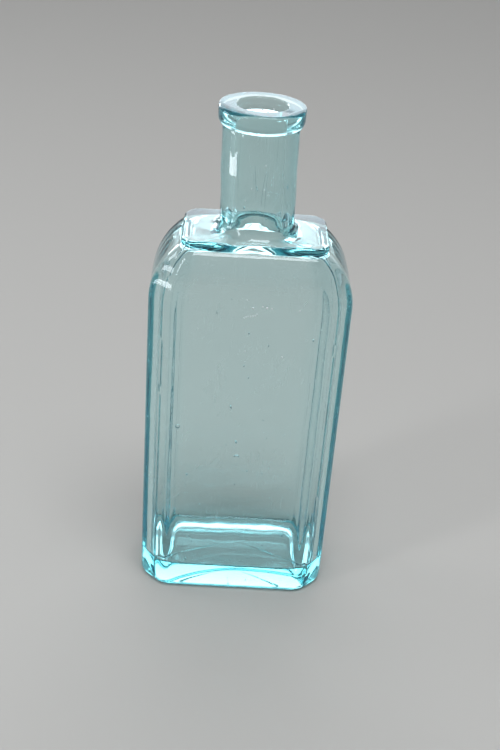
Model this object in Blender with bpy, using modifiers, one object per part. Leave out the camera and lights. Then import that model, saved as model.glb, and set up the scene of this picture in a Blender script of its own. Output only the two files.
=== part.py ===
"""Flat mould-blown glass bottle with bevelled corners, arched shoulders and an applied lip.

Units are metres and +Z is up. The origin is the middle of the base, on the surface that the
bottle stands on. X runs across the broad faces and Y runs from the front face to the back.

The base, body, shoulders and step are one piece. The neck is a bored tube that stands on the step's
fillet and reaches down through it to the ceiling of the cavity. The lip is a collar laid on over the
neck's sheared-off end, which shows inside it.
"""

import math

import bmesh
import bpy

MM = 0.001

# Body, outside
TOTAL_HEIGHT = 174.0 * MM
BODY_WIDTH = 66.0 * MM
BODY_DEPTH = 37.5 * MM
BEVEL_WIDTH = 7.9 * MM
BEVEL_DEPTH = 7.6 * MM
BEVEL_SOFTENING = 1.4 * MM
HEEL_RADIUS = 2.4 * MM

# Underside
BEARING_RIM_WIDTH = 2.0 * MM
PUSH_UP_RISE = 2.8 * MM

# Shoulders and the raised step that carries the neck
SIDE_SHOULDER_RISE = 20.0 * MM
FACE_SHOULDER_RISE = 8.0 * MM
STEP_WIDTH = 44.2 * MM
STEP_DEPTH = 27.2 * MM
STEP_RISE = 2.8 * MM
STEP_CORNER_CUT = 3.0 * MM
STEP_EDGE_RADIUS = 1.2 * MM

# Neck
NECK_LENGTH = 33.8 * MM
NECK_RADIUS = 12.0 * MM
NECK_FOOT_FILLET = 4.2 * MM
BORE_RADIUS = 7.7 * MM

# Applied lip
LIP_HEIGHT = 6.4 * MM
LIP_RADIUS = 13.5 * MM
LIP_EDGE_RADIUS = 0.8 * MM
LIP_LOWER_ROUNDING = 2.4 * MM
LIP_FOOT_LEDGE = 0.2 * MM
SPIGOT_HEIGHT = 3.2 * MM

# How the neck's turned-down ends sit in the body and in the lip
SPIGOT_WALL = 2.5 * MM
SEAT_GAP = 0.3 * MM

# Inside
WALL = 3.0 * MM
BASE_THICKNESS = 7.7 * MM
FLOOR_FILLET = 3.2 * MM
CAVITY_SOFTENING = 4.5 * MM
CEILING_THICKNESS = 4.2 * MM
CEILING_LEDGE = 1.2 * MM

# Heights and a radius that follow from the sizes above
LIP_FOOT_HEIGHT = TOTAL_HEIGHT - LIP_HEIGHT
STEP_TOP_HEIGHT = LIP_FOOT_HEIGHT - NECK_LENGTH
NECK_FOOT_HEIGHT = STEP_TOP_HEIGHT + NECK_FOOT_FILLET
CEILING_HEIGHT = STEP_TOP_HEIGHT - CEILING_THICKNESS
SHOULDER_TOP_HEIGHT = STEP_TOP_HEIGHT - STEP_RISE
SHOULDER_FOOT_HEIGHT = SHOULDER_TOP_HEIGHT - SIDE_SHOULDER_RISE
NECK_HOLE_RADIUS = BORE_RADIUS + SPIGOT_WALL + SEAT_GAP

# Fineness of the facets
QUARTER_STEPS = 12
ARC_STEPS = 4
SHOULDER_STEPS = 8
CROWN_SHARES = (0.1, 0.5, 0.75, 0.9)

# Shares that shape the curves
SHOULDER_ARC_SHARE = 0.785      # how much of a quarter ellipse's height the outer shoulder takes
FILLET_REACH_SHARE = 0.88       # how near the neck's fillet comes to the step's edge where they meet
PUSH_UP_SQUARENESS = 4.0        # above 2 the push-up is flatter in the middle and steeper at its edge
SOFTENING_LIMIT_SHARE = 0.45    # the most of a straight stretch that a softened corner may take

GLASS_COLOUR = (0.70, 0.88, 0.87, 1.0)
GLASS_ROUGHNESS = 0.04
GLASS_IOR = 1.52
SMOOTH_ANGLE = math.radians(28.0)
MERGE_DISTANCE = 0.001 * MM


def clear_scene():
    for obj in list(bpy.data.objects):
        bpy.data.objects.remove(obj, do_unlink=True)


def glass_material(name):
    material = bpy.data.materials.new(name)
    material.use_nodes = True
    shader = material.node_tree.nodes["Principled BSDF"]
    shader.inputs["Base Color"].default_value = GLASS_COLOUR
    shader.inputs["Roughness"].default_value = GLASS_ROUGHNESS
    shader.inputs["Metallic"].default_value = 0.0
    shader.inputs["IOR"].default_value = GLASS_IOR
    shader.inputs["Transmission Weight"].default_value = 1.0
    return material


def between(a, b, share):
    return (a[0] + (b[0] - a[0]) * share, a[1] + (b[1] - a[1]) * share)


def softened_corner(before, corner, after, setback):
    """Three points that round a corner off, set back along both of its edges."""
    start = between(corner, before, setback / math.dist(corner, before))
    end = between(corner, after, setback / math.dist(corner, after))
    middle = between(between(start, corner, 0.5), between(corner, end, 0.5), 0.5)
    return [start, middle, end]


def bevelled_rectangle(half_width, half_depth, cut_width, cut_depth, softening):
    """An outline of 4 * QUARTER_STEPS points, counter-clockwise from +X, with bevelled corners."""
    on_side = (half_width, 0.0)
    side_corner = (half_width, half_depth - cut_depth)
    face_corner = (half_width - cut_width, half_depth)
    on_face = (0.0, half_depth)
    shortest = min(math.dist(on_side, side_corner), math.dist(side_corner, face_corner))
    setback = min(softening, shortest * SOFTENING_LIMIT_SHARE)
    side_bend = softened_corner(on_side, side_corner, face_corner, setback)
    face_bend = softened_corner(side_corner, face_corner, on_face, setback)
    quarter = [on_side, between(on_side, side_bend[0], 0.5)]
    quarter += side_bend
    quarter.append(between(side_bend[2], face_bend[0], 0.5))
    quarter += face_bend
    steps_left = QUARTER_STEPS - len(quarter)
    quarter += [between(face_bend[2], on_face, (k + 1) / (steps_left + 1)) for k in range(steps_left)]
    quarter.append(on_face)
    there, back = quarter[:-1], quarter[:0:-1]
    outline = list(there)
    outline += [(-x, y) for x, y in back]
    outline += [(-x, -y) for x, y in there]
    outline += [(x, -y) for x, y in back]
    return outline


def circle(radius):
    count = 4 * QUARTER_STEPS
    angles = [2.0 * math.pi * k / count for k in range(count)]
    return [(radius * math.cos(angle), radius * math.sin(angle)) for angle in angles]


def at_height(outline, z):
    return [(x, y, z) for x, y in outline]


def quarter_turn(steps):
    """Angles from just above zero to a right angle."""
    return [0.5 * math.pi * k / steps for k in range(1, steps + 1)]


def body_outline(inset, softening):
    """The body's straight stretch, drawn in by the same distance all round."""
    bevel_loss = inset * (2.0 - math.sqrt(2.0))
    return bevelled_rectangle(
        BODY_WIDTH / 2 - inset, BODY_DEPTH / 2 - inset,
        BEVEL_WIDTH - bevel_loss, BEVEL_DEPTH - bevel_loss, softening)


def step_outline(grown):
    """The raised step's outline, grown outwards from its flat top."""
    return bevelled_rectangle(
        STEP_WIDTH / 2 + grown, STEP_DEPTH / 2 + grown,
        STEP_CORNER_CUT, STEP_CORNER_CUT, STEP_CORNER_CUT)


def arch_share(height_share):
    """How far in a shoulder has come, from 0 at its foot to 1 at its top."""
    reach = height_share * SHOULDER_ARC_SHARE
    return (1.0 - math.sqrt(1.0 - reach ** 2)) / (1.0 - math.sqrt(1.0 - SHOULDER_ARC_SHARE ** 2))


def shoulder_outline(z):
    """The outside at a height on the shoulders: the sides arch in first, the broad faces later."""
    face_shoulder_foot = SHOULDER_TOP_HEIGHT - FACE_SHOULDER_RISE
    side_share = (z - SHOULDER_FOOT_HEIGHT) / SIDE_SHOULDER_RISE
    face_share = max(0.0, (z - face_shoulder_foot) / FACE_SHOULDER_RISE)
    step_half_width = STEP_WIDTH / 2 + STEP_EDGE_RADIUS
    step_half_depth = STEP_DEPTH / 2 + STEP_EDGE_RADIUS
    half_width = BODY_WIDTH / 2 + (step_half_width - BODY_WIDTH / 2) * arch_share(side_share)
    half_depth = BODY_DEPTH / 2 + (step_half_depth - BODY_DEPTH / 2) * arch_share(face_share)
    narrowing = arch_share(side_share)
    cut_width = BEVEL_WIDTH + (STEP_CORNER_CUT - BEVEL_WIDTH) * narrowing
    cut_depth = BEVEL_DEPTH + (STEP_CORNER_CUT - BEVEL_DEPTH) * narrowing
    softening = BEVEL_SOFTENING + (STEP_CORNER_CUT - BEVEL_SOFTENING) * narrowing
    return bevelled_rectangle(half_width, half_depth, cut_width, cut_depth, softening)


def underside_rings():
    """The domed push-up, the flat rim that the bottle stands on, and the rounded heel."""
    rim = body_outline(HEEL_RADIUS, BEVEL_SOFTENING)
    dome_inset = HEEL_RADIUS + BEARING_RIM_WIDTH
    dome = body_outline(dome_inset, BEVEL_SOFTENING)
    dome_half_width = BODY_WIDTH / 2 - dome_inset
    dome_half_depth = BODY_DEPTH / 2 - dome_inset
    crown_share, *dome_shares = CROWN_SHARES
    rings = [at_height([(x * crown_share, y * crown_share) for x, y in dome], PUSH_UP_RISE)]
    for share in dome_shares:
        ring = []
        for x, y in [(x * share, y * share) for x, y in dome]:
            across = 1.0 - abs(x / dome_half_width) ** PUSH_UP_SQUARENESS
            through = 1.0 - abs(y / dome_half_depth) ** PUSH_UP_SQUARENESS
            ring.append((x, y, PUSH_UP_RISE * across * through))
        rings.append(ring)
    rings.append(at_height(dome, 0.0))
    rings.append(at_height(rim, 0.0))
    for angle in quarter_turn(ARC_STEPS):
        inset = HEEL_RADIUS * (1.0 - math.sin(angle))
        height = HEEL_RADIUS * (1.0 - math.cos(angle))
        rings.append(at_height(body_outline(inset, BEVEL_SOFTENING), height))
    return rings


def shoulder_rings():
    shares = [k / SHOULDER_STEPS for k in range(SHOULDER_STEPS + 1)]
    heights = [SHOULDER_FOOT_HEIGHT + SIDE_SHOULDER_RISE * share for share in shares]
    return [at_height(shoulder_outline(z), z) for z in heights]


def step_surface_height(x, y):
    """The top of the step, rising in a fillet to the neck."""
    to_neck = max(0.0, math.hypot(x, y) - NECK_RADIUS)
    if to_neck >= NECK_FOOT_FILLET:
        return STEP_TOP_HEIGHT
    depth = math.sqrt(NECK_FOOT_FILLET ** 2 - (NECK_FOOT_FILLET - to_neck) ** 2)
    return STEP_TOP_HEIGHT + NECK_FOOT_FILLET - depth


def step_rings():
    """The step's rounded edge and top, then the fillet that runs up into the neck.

    The neck stands so near the front and back edges that its fillet lifts them in the middle.
    """
    rings = []
    edge = step_outline(0.0)
    edge_heights = [step_surface_height(x, y) for x, y in edge]
    for angle in reversed(quarter_turn(ARC_STEPS)[:-1]):
        grown = STEP_EDGE_RADIUS * math.sin(angle)
        drop = STEP_EDGE_RADIUS * (1.0 - math.cos(angle))
        rings.append([(x, y, z - drop) for (x, y), z in zip(step_outline(grown), edge_heights)])
    rings.append([(x, y, z) for (x, y), z in zip(edge, edge_heights)])
    neck = circle(NECK_RADIUS)
    for angle in reversed(quarter_turn(ARC_STEPS)):
        ring = []
        for out, near in zip(edge, neck):
            room = math.dist(out, near)
            reach = min(NECK_FOOT_FILLET, room * FILLET_REACH_SHARE) * (1.0 - math.cos(angle))
            x, y = between(near, out, reach / room)
            ring.append((x, y, step_surface_height(x, y)))
        rings.append(ring)
    rings.append(at_height(neck, NECK_FOOT_HEIGHT))
    return rings


def quarter_round(share):
    """How far in an arched ceiling has come, from 0 at its foot to 1 at its top."""
    return 1.0 - math.sqrt(1.0 - min(1.0, max(0.0, share)) ** 2)


def cavity_outline(z):
    """The inside at a height: it follows the shoulders up to a flat ceiling under the step."""
    below = CEILING_HEIGHT - z
    side_share = quarter_round(1.0 - below / SIDE_SHOULDER_RISE)
    face_share = quarter_round(1.0 - below / (FACE_SHOULDER_RISE + WALL))
    wall_half_width = BODY_WIDTH / 2 - WALL
    wall_half_depth = BODY_DEPTH / 2 - WALL
    ceiling_half_width = STEP_WIDTH / 2 - WALL
    ceiling_half_depth = NECK_HOLE_RADIUS + CEILING_LEDGE
    half_width = wall_half_width + (ceiling_half_width - wall_half_width) * side_share
    half_depth = wall_half_depth + (ceiling_half_depth - wall_half_depth) * face_share
    bevel_loss = WALL * (2.0 - math.sqrt(2.0))
    cut_width = BEVEL_WIDTH - bevel_loss
    cut_depth = BEVEL_DEPTH - bevel_loss
    return bevelled_rectangle(
        half_width, half_depth,
        cut_width + (STEP_CORNER_CUT - cut_width) * side_share,
        cut_depth + (STEP_CORNER_CUT - cut_depth) * side_share, CAVITY_SOFTENING)


def cavity_rings():
    """The hole for the neck, then out along the ceiling and down the walls to the rounded floor."""
    hole = circle(NECK_HOLE_RADIUS)
    rings = [at_height(hole, NECK_FOOT_HEIGHT), at_height(hole, CEILING_HEIGHT)]
    for angle in reversed([0.0] + quarter_turn(SHOULDER_STEPS)):
        z = CEILING_HEIGHT - SIDE_SHOULDER_RISE * (1.0 - math.sin(angle))
        rings.append(at_height(cavity_outline(z), z))
    for angle in [0.0] + quarter_turn(ARC_STEPS):
        inset = WALL + FLOOR_FILLET * (1.0 - math.cos(angle))
        height = BASE_THICKNESS + FLOOR_FILLET * (1.0 - math.sin(angle))
        rings.append(at_height(body_outline(inset, CAVITY_SOFTENING), height))
    return rings


def loft(name, rings):
    """A closed solid through rings of equally many points, capped at its first and last ring."""
    mesh_data = bmesh.new()
    loops = [[mesh_data.verts.new(point) for point in ring] for ring in rings]
    for lower, upper in zip(loops, loops[1:]):
        for k in range(len(lower)):
            mesh_data.faces.new((lower[k - 1], lower[k], upper[k], upper[k - 1]))
    mesh_data.faces.new(reversed(loops[0]))
    mesh_data.faces.new(loops[-1])
    mesh = bpy.data.meshes.new(name)
    mesh_data.to_mesh(mesh)
    mesh_data.free()
    mesh.shade_smooth()
    mesh.set_sharp_from_angle(angle=SMOOTH_ANGLE)
    return mesh


def neck_profile():
    """The neck's cross-section: down its outer side and lower end, up its bore, round its top end."""
    end_radius = BORE_RADIUS + SPIGOT_WALL
    end_height = LIP_FOOT_HEIGHT + SPIGOT_HEIGHT
    seat_height = NECK_FOOT_HEIGHT + SEAT_GAP
    return [
        (NECK_RADIUS, LIP_FOOT_HEIGHT),
        (NECK_RADIUS, seat_height),
        (end_radius, seat_height),
        (end_radius, CEILING_HEIGHT),
        (BORE_RADIUS, CEILING_HEIGHT),
        (BORE_RADIUS, end_height),
        (end_radius, end_height),
        (end_radius, LIP_FOOT_HEIGHT),
    ]


def lip_profile():
    """The lip's cross-section: down its outer side, then back up its seat and the bore."""
    foot = LIP_FOOT_HEIGHT + SEAT_GAP
    foot_radius = NECK_RADIUS + LIP_FOOT_LEDGE
    rounding_width = LIP_RADIUS - foot_radius
    seat_top = foot + SPIGOT_HEIGHT
    points = []
    for angle in [0.0] + quarter_turn(ARC_STEPS):
        points.append((LIP_RADIUS - LIP_EDGE_RADIUS * (1.0 - math.sin(angle)),
                       TOTAL_HEIGHT - LIP_EDGE_RADIUS * (1.0 - math.cos(angle))))
    for angle in [0.0] + quarter_turn(ARC_STEPS):
        points.append((foot_radius + rounding_width * math.cos(angle),
                       foot + LIP_LOWER_ROUNDING * (1.0 - math.sin(angle))))
    points += [(NECK_HOLE_RADIUS, foot), (NECK_HOLE_RADIUS, seat_top), (BORE_RADIUS, seat_top)]
    for angle in [0.0] + quarter_turn(ARC_STEPS):
        points.append((BORE_RADIUS + LIP_EDGE_RADIUS * (1.0 - math.cos(angle)),
                       TOTAL_HEIGHT - LIP_EDGE_RADIUS * (1.0 - math.sin(angle))))
    return points


def turned(name, profile):
    """A ring turned about Z from a closed profile that starts at its top and runs down outside."""
    mesh = bpy.data.meshes.new(name)
    count = len(profile)
    edges = [(k, (k + 1) % count) for k in range(count)]
    mesh.from_pydata([(radius, 0.0, z) for radius, z in profile], edges, [])
    obj = bpy.data.objects.new(name, mesh)
    screw = obj.modifiers.new("turn", "SCREW")
    screw.axis = "Z"
    screw.angle = 2.0 * math.pi
    screw.steps = 4 * QUARTER_STEPS
    screw.render_steps = screw.steps
    screw.use_merge_vertices = True
    screw.merge_threshold = MERGE_DISTANCE
    screw.use_smooth_shade = True
    return obj


def build():
    clear_scene()
    bottle = bpy.data.collections.new("bottle")
    bpy.context.scene.collection.children.link(bottle)

    rings = underside_rings() + shoulder_rings() + step_rings() + cavity_rings()
    body = bpy.data.objects.new("bottle_body", loft("bottle_body", rings))
    body.data.materials.append(glass_material("body_glass"))
    bottle.objects.link(body)

    neck = turned("neck", neck_profile())
    neck.data.materials.append(glass_material("neck_glass"))
    bottle.objects.link(neck)

    lip = turned("applied_lip", lip_profile())
    lip.data.materials.append(glass_material("lip_glass"))
    bottle.objects.link(lip)


build()
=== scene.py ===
"""Looks of a flat mould-blown glass bottle: pale aqua glass with seeds, wavy walls and light wear.

The glass is one continuous mesh, because the real lip is fused to the neck. Units are metres.
"""

import math
import random

import bmesh
import bpy
from mathutils import Matrix, Vector, noise


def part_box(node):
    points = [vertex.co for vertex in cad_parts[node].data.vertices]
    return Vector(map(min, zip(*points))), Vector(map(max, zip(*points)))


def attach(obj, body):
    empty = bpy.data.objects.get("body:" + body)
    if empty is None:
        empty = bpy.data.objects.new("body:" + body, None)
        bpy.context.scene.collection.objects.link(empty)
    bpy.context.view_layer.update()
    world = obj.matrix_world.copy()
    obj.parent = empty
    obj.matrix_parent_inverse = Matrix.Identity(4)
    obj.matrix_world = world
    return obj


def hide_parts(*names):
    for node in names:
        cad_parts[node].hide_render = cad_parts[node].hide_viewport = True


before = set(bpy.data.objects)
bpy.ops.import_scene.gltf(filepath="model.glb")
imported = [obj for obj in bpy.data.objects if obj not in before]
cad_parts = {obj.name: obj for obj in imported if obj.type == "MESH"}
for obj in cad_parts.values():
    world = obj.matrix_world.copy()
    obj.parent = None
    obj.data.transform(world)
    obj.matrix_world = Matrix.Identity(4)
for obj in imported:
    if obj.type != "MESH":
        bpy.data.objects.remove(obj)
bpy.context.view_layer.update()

MM = 0.001

# Sizes read from the frame
BODY_LOW, BODY_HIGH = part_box("bottle_body")
LIP_LOW, LIP_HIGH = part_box("applied_lip")
BODY_WIDTH = BODY_HIGH[0] - BODY_LOW[0]
BODY_DEPTH = BODY_HIGH[1] - BODY_LOW[1]
TOTAL_HEIGHT = LIP_HIGH[2]
LIP_RADIUS = (LIP_HIGH[0] - LIP_LOW[0]) / 2

# Sizes that follow the solids. A few inner ones differ a little, so that the bright and dark bands
# that refraction draws fall where the photograph has them.
BEVEL_WIDTH = 7.9 * MM
BEVEL_DEPTH = 7.6 * MM
BEVEL_SOFTENING = 1.6 * MM
HEEL_SOFTENING = 3.4 * MM
HEEL_SOFTENING_TOP = 14.0 * MM
HEEL_RADIUS = 2.4 * MM
BEARING_RIM_WIDTH = 0.6 * MM

# The underside: a crown, level up to LEVEL_TO and rounded off beyond it, and a ramp with a ledge
PUSH_UP_RISE = 3.35 * MM
PUSH_UP_CROWN = -1.0 * MM
PUSH_UP_LEVEL_TO = (17.5 * MM, 6.75 * MM)
PUSH_UP_ROUNDING = (8.5 * MM, 9.0 * MM)
PUSH_UP_SQUARENESS = 4
PUSH_UP_EDGE_SOFTNESS = 0.04
PUSH_UP_BACK_FALL = 0.5
PUSH_UP_RAMP = 0.275
PUSH_UP_CREASE = 0.25 * MM
RAMP_LEDGE_DROP = 0.55 * MM
RAMP_LEDGE_ENDS = (-1.2 * MM, 1.2 * MM)
RAMP_LEDGE_CROWN = (4.0 * MM, -4.4 * MM)
RAMP_LEDGE_FALLS = (14.0, 6.0)
PUSH_UP_RINGS = 36

# The shoulders, the step, the neck and the lip
SIDE_SHOULDER_RISE = 20.0 * MM
FACE_SHOULDER_RISE = 8.0 * MM
STEP_WIDTH = 44.2 * MM
STEP_DEPTH = 27.2 * MM
STEP_RISE = 2.4 * MM
STEP_CORNER_CUT = 3.0 * MM
STEP_CORNER_SOFTENING = 4.0 * MM
STEP_EDGE_RADIUS = 1.2 * MM
NECK_LENGTH = 33.8 * MM
NECK_RADIUS = 12.0 * MM
NECK_FOOT_FILLET = 4.2 * MM
BORE_RADIUS = 7.7 * MM
LIP_HEIGHT = 6.4 * MM
LIP_EDGE_RADIUS = 0.8 * MM
LIP_LOWER_ROUNDING = 2.6 * MM
LIP_FOOT_LEDGE = 0.2 * MM
LIP_FOOT_NOTCH = 0.25 * MM

# The inside, from the floor up to the throat
WALL = 3.0 * MM
BASE_THICKNESS = 8.8 * MM
FLOOR_FILLET = 1.2 * MM
FLOOR_SIDE_FILLET = 1.8 * MM
BACK_FILLET = 5.5 * MM
BACK_FILLET_RISE = 10.0 * MM
BACK_FILLET_STARTS = (1.0 * MM, 10.0 * MM)
FLOOR_FRONT_CUT = 6.0 * MM
FLOOR_BACK_CUT = 8.0 * MM
FLOOR_SOFTENING = 8.0 * MM
FLOOR_FILLET_RINGS = 26
FLOOR_RINGS = 24
CAVITY_SOFTENING = 6.0 * MM
CEILING_THICKNESS = 4.3 * MM
CEILING_SLOPE = 0.024
CEILING_LEVEL_AT = -6.0 * MM
CEILING_WIDTH = 38.0 * MM
CEILING_DEPTH = 24.4 * MM
CEILING_CORNER_CUT = 4.0 * MM
CAVITY_SIDE_RISE = 20.0 * MM
CAVITY_FACE_RISE = 11.0 * MM
THROAT_RISE = 9.5 * MM
THROAT_FLARE = 1.6 * MM
THROAT_FOOT = 3.0 * MM
THROAT_FOOT_SPREAD = 1.5
THROAT_FOOT_SIDE_FLATNESS = 4.0
THROAT_RINGS = 16

LIP_FOOT_HEIGHT = TOTAL_HEIGHT - LIP_HEIGHT
STEP_TOP_HEIGHT = LIP_FOOT_HEIGHT - NECK_LENGTH
SHOULDER_TOP_HEIGHT = STEP_TOP_HEIGHT - STEP_RISE
SHOULDER_FOOT_HEIGHT = SHOULDER_TOP_HEIGHT - SIDE_SHOULDER_RISE
NECK_LOW = STEP_TOP_HEIGHT + NECK_FOOT_FILLET
FACE_WIDTH = BODY_WIDTH - 2 * BEVEL_WIDTH
SIDE_DEPTH = BODY_DEPTH - 2 * BEVEL_DEPTH

SHOULDER_ARC_SHARE = 0.785
FILLET_REACH_SHARE = 0.92
SOFTENING_LIMIT_SHARE = 0.5

# The lip's top: its edge was pressed down in two stretches, and a tongue of glass droops between
# them. Angles are in degrees from +X, and each stretch is (middle, spread, reach inwards, drop).
LIP_PRESSED_STRETCHES = ((222.0, 62.0, 2.6 * MM, 0.75 * MM), (326.0, 30.0, 1.4 * MM, 0.45 * MM))
TONGUE_ANGLE, TONGUE_SPREAD = 288.0, 17.0
TONGUE_REACH = 0.45 * MM
TONGUE_DROOP = 0.35 * MM
TONGUE_DROOP_SHARPNESS = 4
DENT_PLACE = (7.8 * MM, -6.4 * MM)
DENT_RADIUS = 1.5 * MM
DENT_DEPTH = 0.35 * MM
LIP_TOP_RINGS = 8

# The neck was finished by hand, so its axis strays: (height, offset in x), low to high
NECK_AXIS = ((134.0 * MM, 0.45 * MM), (143.0 * MM, 0.22 * MM), (156.0 * MM, -0.25 * MM),
             (171.0 * MM, -0.42 * MM))

# Hand-blown unevenness: how deep, and how far from one wave to the next
OUTSIDE_WAVE, OUTSIDE_WAVE_LENGTH = 0.09 * MM, 24.0 * MM
OUTSIDE_RIPPLE, OUTSIDE_RIPPLE_LENGTH = 0.03 * MM, 7.0 * MM
INSIDE_WAVE, INSIDE_WAVE_LENGTH = 0.24 * MM, 32.0 * MM
CALM_HEIGHTS = (14.0 * MM, 30.0 * MM, 112.0 * MM, 124.0 * MM)
CALM_SHARE = 0.25
INSIDE_RIPPLE, INSIDE_RIPPLE_LENGTH = 0.07 * MM, 6.0 * MM
STREAK_DEPTH, STREAK_WIDTH, STREAK_STRETCH = 0.10 * MM, 1.9 * MM, 9.0
OUTSIDE_STREAK_DEPTH = STREAK_DEPTH / 3.0

# Bubbles of air in the glass: how many, how small and how large, and how far they are drawn out
# upwards. Every fifth one in the walls is in a narrow side.
SEED = 1881
WALL_SEEDS, NECK_SEEDS, BASE_SEEDS = 46, 16, 10
SIDE_SEED_EVERY = 5
BASE_SEED_SPREAD = (0.35, 0.3)
SEED_RADII = (0.10 * MM, 0.30 * MM)
SEED_STRETCH = (1.0, 2.4)
BLOB_SUBDIVISIONS = 2
AIR_LINES = 10
AIR_LINE_LENGTHS = (5.0 * MM, 16.0 * MM)
AIR_LINE_RADIUS = 0.06 * MM
AIR_LINE_BEND = 0.15
AIR_LINE_SIDES, AIR_LINE_STEPS = 8, 14

# Lime flecks left on the glass, in mm: (x, z, radius) on the front face, a crescent of (x, z)
# there, and (angle in degrees, z, radius) on the neck and in the bore
FRONT_FLECKS = (
    (0.6, 114.4, 0.34), (-1.5, 117.1, 0.22), (3.7, 115.0, 0.26), (5.0, 114.7, 0.40),
    (6.6, 114.5, 0.30), (15.4, 114.4, 0.30), (11.1, 97.5, 0.30), (-0.9, 98.9, 0.26),
    (18.6, 104.0, 0.2), (-16.5, 106.0, 0.22))
FRONT_CRESCENT = (
    (-2.0, 110.7), (-1.4, 111.2), (-0.8, 111.4), (0.0, 111.4), (0.8, 111.6), (1.5, 111.8),
    (2.0, 112.3))
CRESCENT_FLECK_RADIUS = 0.24
NECK_FLECKS = (
    (259.0, 151.1, 0.22), (278.0, 151.1, 0.24), (278.0, 158.7, 0.22), (250.0, 147.0, 0.2),
    (284.0, 149.5, 0.2))
BORE_FLECKS = (
    (62.0, 170.4, 0.3), (75.0, 169.2, 0.26), (88.0, 170.0, 0.3), (101.0, 168.8, 0.3),
    (118.0, 170.2, 0.32))
STRAY_FLECKS = 46
STRAY_FLECK_HEIGHTS = (84.0 * MM, 124.0 * MM)
STRAY_FLECK_RADII = (0.07 * MM, 0.16 * MM)
FLECK_FLATNESS = 0.35

# Marks in the front wall: a flat bubble (x, z, radius), and creases along (x, z) in mm
RING_BUBBLE = (-21.5 * MM, 68.7 * MM, 0.80 * MM)
RING_BUBBLE_FLATNESS = 0.2
FRONT_CREASES = (((-2.2, 57.5), (-1.6, 58.2), (-0.9, 58.4), (-0.5, 58.1), (-0.2, 57.6)),
                 ((-1.9, 64.6), (-1.75, 64.0), (-1.6, 63.6), (-1.5, 63.0)),
                 ((-4.5, 78.5), (-4.2, 77.4), (-3.9, 76.6)))
CREASE_RADIUS = 0.28 * MM
CREASE_DEPTH = 0.50 * MM

# Fineness of the mesh: stretches of a quarter outline, and steps along the height
SIDE_PIECES, BEND_PIECES, BEVEL_PIECES, FACE_PIECES = 6, 10, 5, 17
QUARTER_STEPS = SIDE_PIECES + 2 * BEND_PIECES + BEVEL_PIECES + FACE_PIECES
ARC_STEPS = 10
SHOULDER_STEPS = 28
ROW_SPACING = 1.6 * MM

# The photograph's camera, solved from the bottle's edges: pixels are those of a 500 x 750 frame
FRAME_LONG_SIDE_PX = 750.0
FOCAL_LENGTH_PX = 1136.2
SENSOR_MM = 36.0
CAMERA_PLACE = Vector((-11.27, -338.49, 273.37)) * MM
CAMERA_TILT, CAMERA_ROLL, CAMERA_TURN = (math.radians(a) for a in (60.21, 4.49, -2.25))
CAMERA_CLIP = (0.01, 50.0)

GLASS_COLOUR = (0.985, 1.0, 0.995, 1.0)
IOR = 1.52
ABSORPTION_COLOUR = (0.10, 0.82, 0.87, 1.0)
ABSORPTION_DENSITY = 51.0

# Wear and skin of the glass: the roughness of clear glass, what haze, lines and scuffs add to it,
# and the heights of bumps
CLEAR_ROUGHNESS = 0.012
HAZE_ROUGHNESS = 0.045
LINE_ROUGHNESS = 0.20
SCUFF_ROUGHNESS = 0.38
SCUFF_HEIGHT = 0.002 * MM
RIPPLE_HEIGHT = 0.017 * MM
SKIN_HEIGHT = 0.015 * MM

# Noise patterns of the wear: blob sizes along x, y and z, turn about y, and (low, high) of its edge
PATCHES = ((14 * MM, 14 * MM, 17 * MM), 0.0, (0.46, 0.66))
UPRIGHT_SCUFFS = ((0.22 * MM, 0.22 * MM, 7 * MM), 0.0, (0.64, 0.72))
SLANTING_SCUFFS = ((0.2 * MM, 0.2 * MM, 11 * MM), math.radians(38), (0.68, 0.74))
LEVEL_LINES = ((11 * MM, 11 * MM, 0.4 * MM), 0.0, (0.48, 0.68))
RIPPLE_SIZES, RIPPLE_TURN, RIPPLE_DETAIL = (1.9 * MM, 1.9 * MM, 1.2 * MM), math.radians(25), 1.0
SKIN_SIZES = (3 * MM, 3 * MM, 4 * MM)

# Where the wear lies: scuffs fade in upwards, and the rest lies in bands (low, high, softness)
SCUFF_FOOT = (16 * MM, 24 * MM)
LEVEL_LINE_BAND = (113 * MM, 124 * MM, 5 * MM)
RIPPLE_BAND = (62 * MM, 90 * MM, 16 * MM)

LIME_TONES = ((0.72, 0.76, 0.76, 1.0), (0.95, 0.97, 0.98, 1.0))
LIME_TONE_SIZES = (2 * MM, 2 * MM, 2 * MM)
LIME_ROUGHNESS = 0.6

GROUND_COLOUR = (0.50, 0.47, 0.44, 1.0)
GROUND_ROUGHNESS = 0.7
GROUND_GAP = 0.2 * MM
GROUND_RADIUS = 5.0
GROUND_SEGMENTS = 96

# Light is reflected many times inside thick glass before it leaves
GLASS_BOUNCES = 32

# Soft lamps and reflecting cards, all turned to the bottle's middle: name, place, (width, height),
# radiance, whether it lights dull surfaces, and whether it shows through the glass and not only in
# its gloss
LAMPS = (
    ("left_strip", (-0.72, -0.50, 0.42), (0.10, 0.80), 9.0, True, False),
    ("left_soft_box", (-0.88, 0.33, 0.50), (0.30, 0.22), 6.0, True, False),
    ("left_low_card", (-0.36, -0.03, 0.023), (0.19, 0.018), 9.0, False, False),
    ("left_far_card", (-0.90, -0.02, 0.13), (0.26, 0.20), 7.0, False, False),
    ("back_card", (0.02, 1.30, 0.13), (0.90, 0.20), 2.8, False, True),
    ("left_back_card", (-0.68, 1.10, 0.42), (0.30, 0.44), 8.0, False, False),
    ("top_soft_box", (0.10, -0.35, 1.20), (0.70, 0.40), 8.0, True, True))

# A dim even dome, with a broad soft window of light high behind the bottle. The window's edges are
# given by the sine of the height above the horizon, and by how far a direction points to the back.
DOME_LEVEL = 0.36
WINDOW_LEVEL = 2.5
WINDOW_FOOT = (-0.05, 0.30)
WINDOW_SIDES = (0.60, 0.78)
BACKDROP_LEVEL = 0.52
SKY_TINT = (0.89, 0.95, 1.0)


# Easing

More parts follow.
